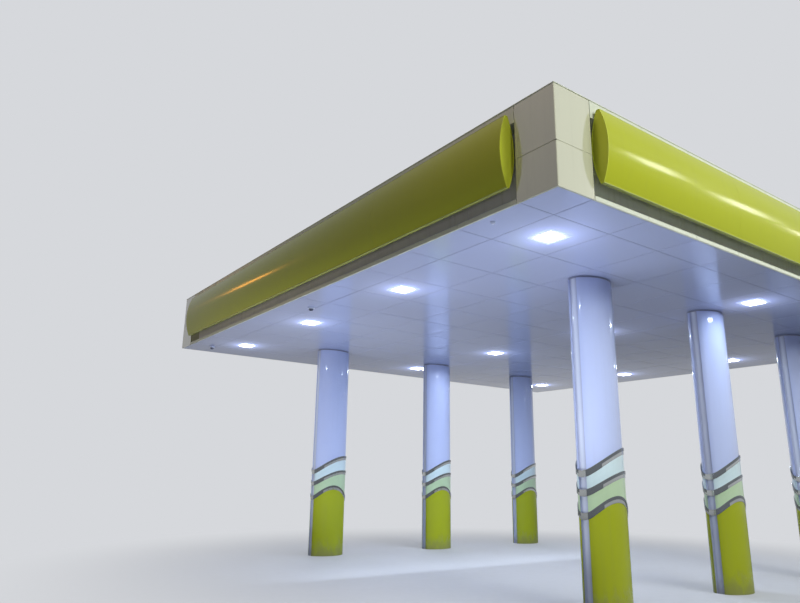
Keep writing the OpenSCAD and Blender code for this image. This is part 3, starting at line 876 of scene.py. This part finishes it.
def make_corners():
    """Two folded sheets at each corner, one above the other, with returns into the recess."""
    back = RECESS + SHEET
    step = 0.012
    far = CORNER_W - JOINT
    near = CORNER_W - SHEET
    plan = [(0, 0), (far, 0), (far, step), (CORNER_W, step), (CORNER_W, back), (near, back),
            (near, SHEET), (SHEET, SHEET)]
    plan += [(b, a) for a, b in reversed(plan[1:-1])]
    seal = bmesh.new()
    for k, (sx, sy) in enumerate(((-1, -1), (1, -1), (1, 1), (-1, 1)), 1):
        bm = bmesh.new()
        for low, high in ((FOOT_GAP, CORNER_JOINT - JOINT / 2),
                          (CORNER_JOINT + JOINT / 2, BAND_H)):
            outline = [(sx * (HALF[0] - a), sy * (HALF[1] - b), CEILING + low) for a, b in plan]
            made = set(add_prism(bm, outline, (0, 0, high - low)))
            ops.recalc_face_normals(bm, faces=bm.faces)
            arris = [e for e in bm.edges if made.issuperset(e.verts) and all(
                abs(abs(v.co[n]) - HALF[n]) < 1e-6 for v in e.verts for n in (0, 1))]
            bevel(bm, arris, ARRIS, 4)
        round_edges(bm, 0.002, 2, over=0.9)
        finish_piece("corner_sheets_%d" % k, bm, "band_ivory", ["corner_panel_%d" % k],
                     smooth=35)
        for turn in (1, -1):
            ends = ((0.004, 0.004), (far - 0.004, 0.020)[::turn])
            xs = sorted(sx * (HALF[0] - p[0]) for p in ends)
            ys = sorted(sy * (HALF[1] - p[1]) for p in ends)
            add_box(seal, (xs[0], ys[0], CEILING + CORNER_JOINT - 0.009),
                    (xs[1], ys[1], CEILING + CORNER_JOINT + 0.009))
    finish_piece("corner_joint_seal", seal, "collar_dark", look="band_seal", weld=False)


def make_lips():
    """Folded strips above and below the recess, in lengths between the panel joints."""
    back = RECESS + SHEET
    upper_z = BAND_TOP - LIP_TOP
    low = LIP_LOW - FOOT_GAP
    fold = low - SHEET
    profiles = ([(0, 0), (back, 0), (back, SHEET), (SHEET, SHEET), (SHEET, LIP_TOP), (0, LIP_TOP)],
                [(0, 0), (SHEET, 0), (SHEET, fold), (back, fold), (back, low), (0, low)])
    bm, seal = bmesh.new(), bmesh.new()
    for i in range(4):
        side, strip = bmesh.new(), bmesh.new()
        reach, joints = side_joints(i)
        ends = [-reach] + joints + [reach]
        for start, end in zip(ends, ends[1:]):
            start += LENGTH_GAP if start > -reach else 0
            end -= LENGTH_GAP if end < reach else 0
            for profile, z in zip(profiles, (upper_z, CEILING + FOOT_GAP)):
                add_prism(side, [(start, a, z + b) for a, b in profile], (end - start, 0, 0))
        ops.recalc_face_normals(side, faces=side.faces)
        round_edges(side, FOLD, 2, over=0.9)
        for at, (bottom, top) in product(joints, ((upper_z, BAND_TOP),
                                                  (CEILING, CEILING + LIP_LOW))):
            add_box(strip, (at - 0.006, 0.006, bottom + SEAL_IN),
                    (at + 0.006, 0.022, top - SEAL_IN))
        put_on_side(bm, side, i)
        put_on_side(seal, strip, i)
    finish_piece("band_lips", bm, "band_ivory", ["band_strips"], look="lip_ivory", smooth=35,
                 weld=False, turn=False)
    finish_piece("band_joint_seal", seal, "collar_dark", look="band_seal", weld=False)


def make_recess():
    """Flat sheets at the back of each recess, with a thin joint between them."""
    bm = bmesh.new()
    for i in range(4):
        side = bmesh.new()
        reach, joints = side_joints(i)
        ends = [-reach] + joints[1::2] + [reach]
        for start, end in zip(ends, ends[1:]):
            add_box(side, (start + 0.002, RECESS + 0.0004, CEILING + LIP_LOW),
                    (end - 0.002, RECESS + SHEET - 0.0004, BAND_TOP - LIP_TOP))
        round_edges(side, 0.002, 1)
        put_on_side(bm, side, i)
    finish_piece("recess_sheets", bm, "recess_grey", ["recess_backs"])


def make_cap():
    """Flat cap in lengths, with a cover strap over each butt joint."""
    bm = bmesh.new()
    outer, inner = -CAP_OUT, PARAPET + CAP_OUT
    for i in range(4):
        side = bmesh.new()
        marks = even_marks(side_length(i) / 2 - (outer if i % 2 == 0 else inner))
        for start, end in zip(marks, marks[1:]):
            add_box(side, (start + 0.002, outer, BAND_TOP),
                    (end - 0.002, inner, BAND_TOP + CAP_T - 0.002))
        round_edges(side, 0.0015, 2)
        for at in marks[1:-1]:
            strap = add_box(side, (at - STRAP_REACH, outer + 0.001, BAND_TOP + 0.002),
                            (at + STRAP_REACH, inner - 0.001, BAND_TOP + CAP_T))
            round_edges(side, 0.001, 1, strap)
        put_on_side(bm, side, i)
    finish_piece("cap_sheets", bm, "band_ivory", ["roof_cap"], look="lip_ivory", weld=False,
                 turn=False)


# ---- light boxes

def oval_ring(bm, at, shrink=0.0, steps=28):
    """Vertices on the pointed oval with blunt tips, from the lower tip round the front."""
    radius = SIGN_R - shrink
    swing = math.asin((SIGN_H / 2 - shrink) / radius)
    turns = [swing * (2 * n / steps - 1) for n in range(steps + 1)]
    front = [(SIGN_D - radius * math.cos(turn), radius * math.sin(turn)) for turn in turns]
    rear = [(-a, b) for a, b in reversed(front)]
    return [bm.verts.new((at, -SIGN_OUT + a, SIGN_Z + b)) for a, b in front + rear]


def oval_skin(bm, start, end, shrink=0.0, thickness=SKIN_T):
    """One length of the skin, bent over the pointed oval."""
    ring = oval_ring(bm, start, shrink)
    edges = [bm.edges.new((ring[n - 1], ring[n])) for n in range(len(ring))]
    made = ops.extrude_edge_only(bm, edges=edges)["geom"]
    ops.translate(bm, vec=(end - start, 0, 0), verts=of_kind(made, bmesh.types.BMVert))
    faces = of_kind(made, bmesh.types.BMFace)
    ops.recalc_face_normals(bm, faces=faces)
    out = faces[0].calc_center_median() - Vector((0, -SIGN_OUT, SIGN_Z))
    if faces[0].normal.yz.dot(out.yz) < 0:
        ops.reverse_faces(bm, faces=faces)
    ops.solidify(bm, geom=faces, thickness=thickness)


def end_plate(bm, side, reach):
    """A plate that closes one end of a light box, with a raised rim."""
    plate = bm.faces.new(oval_ring(bm, side * reach))
    made = ops.extrude_face_region(bm, geom=[plate])["geom"]
    outer = of_kind(made, bmesh.types.BMFace)
    ops.translate(bm, vec=(side * (SIGN_CAP - 0.0005), 0, 0),
                  verts=of_kind(made, bmesh.types.BMVert))
    for width in (0.008, 0.004):
        ops.inset_region(bm, faces=outer, thickness=width, depth=0, use_even_offset=True)
    inner = {v for f in outer for v in f.verts}
    ops.translate(bm, vec=(-side * 0.005, 0, 0), verts=list(inner))


def make_signs():
    caps, rims = bmesh.new(), bmesh.new()
    for i, name in enumerate(("front", "right", "back", "left")):
        reach = side_length(i) / 2 - SIGN_END - SIGN_CAP
        skin, cap, rim, whole = (bmesh.new() for n in range(4))
        marks = even_marks(reach)
        for start, end in zip(marks, marks[1:]):
            oval_skin(skin, start + (0.0012 if start > -reach else 0),
                      end - (0.0012 if end < reach else 0))
        for at in marks[1:-1]:
            oval_skin(skin, at - COVER_REACH, at + COVER_REACH, 0.0055, 0.003)
        put_on_side(whole, skin, i)
        finish_piece("light_box_" + name, whole, "sign_green", ["sign_box_" + name], smooth=30)
        for side in (-1, 1):
            end_plate(cap, side, reach)
            tip = SIGN_Z + side * SIGN_H / 2
            low, high = sorted((tip - side * 0.010, tip + side * 0.003))
            bead = add_box(rim, (-reach - 0.002, -SIGN_OUT - SIGN_TIP / 2 - 0.004, low),
                           (reach + 0.002, -SIGN_OUT + SIGN_TIP / 2 + 0.004, high))
            round_edges(rim, 0.004, 3, bead)
        put_on_side(caps, cap, i)
        put_on_side(rims, rim, i)
    finish_piece("light_box_ends", caps, "sign_cap_green", ["sign_end_caps"], smooth=30)
    finish_piece("light_box_edge_beads", rims, "sign_green", look="sign_rim_green", smooth=50)


# ---- roof

def make_roof_fixings():
    """Hexagon screws with washers where each rib crosses a purlin."""
    bm = bmesh.new()
    ribs = int((ROOF[0] - 2 * PARAPET) / RIB_PITCH)
    reach = HALF[1] - PARAPET - 0.1
    for k, n in product(range(PURLINS), range(ribs)):
        x, y = (n + 0.5 - ribs / 2) * RIB_PITCH, reach * (2 * k / (PURLINS - 1) - 1)
        for sides, wide, narrow, height, up in ((10, 0.013, 0.011, 0.003, 0.0015),
                                                (6, 0.0075, 0.007, 0.006, 0.006)):
            made = ops.create_cone(bm, cap_ends=True, segments=sides, radius1=wide,
                                   radius2=narrow, depth=height)["verts"]
            ops.translate(bm, vec=(x, y, RIB_TOP + up), verts=made)
    finish_piece("roof_screws", bm, "frame_steel", weld=False)


# ---- stage, lamps and camera

PALE = rgb(214, 216, 220)


def make_floor():
    """A wide pale floor that fades into the backdrop, early for the eye and late in mirrors."""
    bm = bmesh.new()
    ops.create_grid(bm, x_segments=1, y_segments=1, size=400)
    mesh = bpy.data.meshes.new("floor")
    bm.to_mesh(mesh)
    bm.free()
    material, tree, shader, place = blank("floor_pale", Roughness=0.7, Emission_Color=PALE)
    grain = noise(tree, place, 6.0, 4.0)
    feed(tree, shader, Base_Color=mixed(tree, grain, rgb(168, 170, 175), rgb(176, 178, 183)),
         Emission_Strength=maths(tree, "MULTIPLY", seen_by(tree, "Camera"), 0.24))
    far = vector_maths(tree, "LENGTH", place)[1]
    early = maths(tree, "MULTIPLY", ramp(tree, far, 4.0, 12.0), seen_by(tree, "Camera"))
    late = maths(tree, "MULTIPLY", ramp(tree, far, 12.0, 60.0),
                 seen_by(tree, "Glossy", "Transmission"))
    # Only half of the light that falls on the floor comes back from it
    dull = put(tree, "ShaderNodeMixShader",
               maths(tree, "MULTIPLY", seen_by(tree, "Diffuse"), 0.5), shader.outputs[0])
    glow = put(tree, "ShaderNodeEmission", Color=PALE)
    blend = put(tree, "ShaderNodeMixShader", maths(tree, "MAXIMUM", early, late),
                dull.outputs[0], glow.outputs[0])
    feed(tree, tree.nodes["Material Output"], Surface=blend.outputs[0])
    mesh.materials.append(material)
    floor = place_object("floor", mesh)


def make_world():
    """A faint light from all round, behind a pale backdrop."""
    world = bpy.data.worlds.new("studio")
    bpy.context.scene.world = world
    world.use_nodes = True
    tree = world.node_tree
    tree.nodes.clear()
    lighting = put(tree, "ShaderNodeBackground", Color=(0.90, 0.94, 1.0, 1), Strength=0.09)
    backdrop = put(tree, "ShaderNodeBackground", Color=PALE)
    blend = put(tree, "ShaderNodeMixShader", seen_by(tree, "Camera", "Glossy", "Transmission"),
                lighting.outputs[0], backdrop.outputs[0])
    put(tree, "ShaderNodeOutputWorld", Surface=blend.outputs[0])


def add_lamp(name, place, target, size, power, tint, lights="sheets"):
    """A soft lamp that the camera doesn't see; it lights sheets, shows in mirrors, or both."""
    lamp = bpy.data.lights.new(name, "AREA")
    lamp.shape = "RECTANGLE"
    lamp.size, lamp.size_y = size
    lamp.energy = power
    lamp.color = tint
    holder = place_object(name, lamp)
    holder.location = place
    aim = Vector(target) - Vector(place)
    holder.rotation_euler = aim.to_track_quat("-Z", "Y").to_euler()
    holder.visible_camera = False
    holder.visible_glossy = lights != "sheets"
    holder.visible_diffuse = lights != "mirrors"


# Name, place, target, size, power, tint and what it lights
LAMPS = (
    ("key_left", (-3.8, -23.0, 10.0), (-3.8, -5, 4.0), (2.4, 6), 960, (0.98, 1.0, 0.94)),
    ("key_cap", (-7.6, -22.0, 8.0), (-6.6, -5, 5.2), (2, 3), 560, (0.98, 1.0, 0.92)),
    ("sky_near", (11.0, -21.0, 18.0), (11, 0, 5.7), (14, 13), 230, (1.0, 1.0, 0.94), "mirrors"),
    ("sky_wide", (15.5, -21.0, 18.0), (15.5, 0, 5.7), (23, 13), 340, (1.0, 1.0, 0.94), "mirrors"),
    ("over_roof", (0.0, 0.0, 26.0), (0, 0, 0), (12, 12), 1200, (1.0, 0.99, 0.97)),
    ("back_fill", (11.0, 24.0, 13.0), (2, 4, 4.0), (10, 6), 1500, (1.0, 0.99, 0.97)),
    ("warm_corner", (-8.6, -6.2, 9.5), (-6.7, -6.0, 5.8), (0.8, 0.8), 46, (1.0, 0.74, 0.66)),
    ("fill_left", (-11.5, 3.0, 0.4), (-6.8, 1.0, 5.6), (1.5, 8), 165, (1.0, 0.84, 0.66)),
    ("street_glow", (-26.0, 47.5, 20.0), (-6.9, 1.7, 5.7), (4.6, 1.3), 330, (1.0, 0.40, 0.06),
     "mirrors"),
    ("key_front", (1.0, -20.5, 14.0), (0, -3, 3.5), (10, 7), 1400, (0.98, 1.0, 0.94)),
    ("low_front", (-15.0, -14.5, 0.8), (-4, -4, 5.0), (4, 1.4), 90, (0.95, 0.92, 1.0)),
    ("down_middle", (-0.12, -0.1, 4.85), (-0.12, -0.1, 0), (0.5, 6.6), 105, (0.80, 0.88, 1.0)),
    ("back_row", (-1.2, 0.2, 0.8), (-1.2, 4.0, 1.6), (9.5, 0.5), 80, (0.74, 0.85, 1.0)),
    ("under_near", (-5.2, -5.0, 1.8), (-5.2, -5.0, 5.0), (1.2, 1.2), 30, (0.85, 0.9, 1.0)),
    ("under_left", (-5.9, -0.6, 0.5), (-5.9, -0.6, 5.0), (1, 9), 145, (0.90, 0.94, 1.0)),
    ("streak_1", (16.8, -20.5, 16.9), (-5, -6.5, 5.7), (2.4, 2.0), 270, (1.0, 1.0, 0.88),
     "mirrors"),
    ("streak_2", (25.6, -20.5, 17.2), (-3.2, -6.5, 5.7), (2.6, 2.0), 250, (1.0, 1.0, 0.88),
     "mirrors"),
    ("streak_3", (35.5, -20.5, 17.4), (-1.0, -6.5, 5.7), (2.6, 2.0), 230, (1.0, 0.95, 0.80),
     "mirrors"),
)
BEAM = 20.0
BEAM_TINT = (0.72, 0.85, 1.0)


def make_lamps():
    for lamp in LAMPS:
        add_lamp(*lamp)
    for n, (x, y) in enumerate(LIGHTS):
        add_lamp("lens_beam_%d" % n, (x, y, CEILING - 0.04), (x, y, 0), (LIGHT_W, LIGHT_W), BEAM,
                 BEAM_TINT, "both")


def make_camera():
    """The photograph's viewpoint, solved from the roof's corners, lights and columns."""
    yaw, pitch, roll = (math.radians(a) for a in (54.18, 14.862, 0.939))
    forward = Vector((math.cos(pitch) * math.cos(yaw), math.cos(pitch) * math.sin(yaw),
                      math.sin(pitch)))
    level_right = Vector((math.sin(yaw), -math.cos(yaw), 0))
    right = level_right * math.cos(roll) + level_right.cross(forward) * math.sin(roll)
    up = right.cross(forward)
    lens = bpy.data.cameras.new("photo_view")
    lens.sensor_width = 36
    lens.lens = 663.4 * 36 / 800
    lens.clip_end = 2000
    view = place_object("photo_view", lens)
    turn = Matrix((right, up, -forward)).transposed().to_4x4()
    view.matrix_world = Matrix.Translation((-12.084, -10.814, 1.836)) @ turn
    bpy.context.scene.camera = view


make_camera()
make_ceiling()
make_lights()
make_cameras()
make_columns()
make_strips()
make_trims()
make_corners()
make_lips()
make_recess()
make_cap()
make_signs()
make_roof_fixings()
for finish, nodes in (("frame_steel", ("column_cores", "main_beams", "purlins", "ceiling_rails",
                                       "band_posts", "sign_brackets")),
                      ("collar_dark", ("column_collars",)),
                      ("roof_sheet", ("roof_deck", "roof_gutter", "parapet_lining"))):
    for node in nodes:
        parts[node].data.materials.clear()
        parts[node].data.materials.append(finishes[finish])
make_floor()
make_world()
make_lamps()
bpy.context.scene.view_settings.view_transform = "Standard"
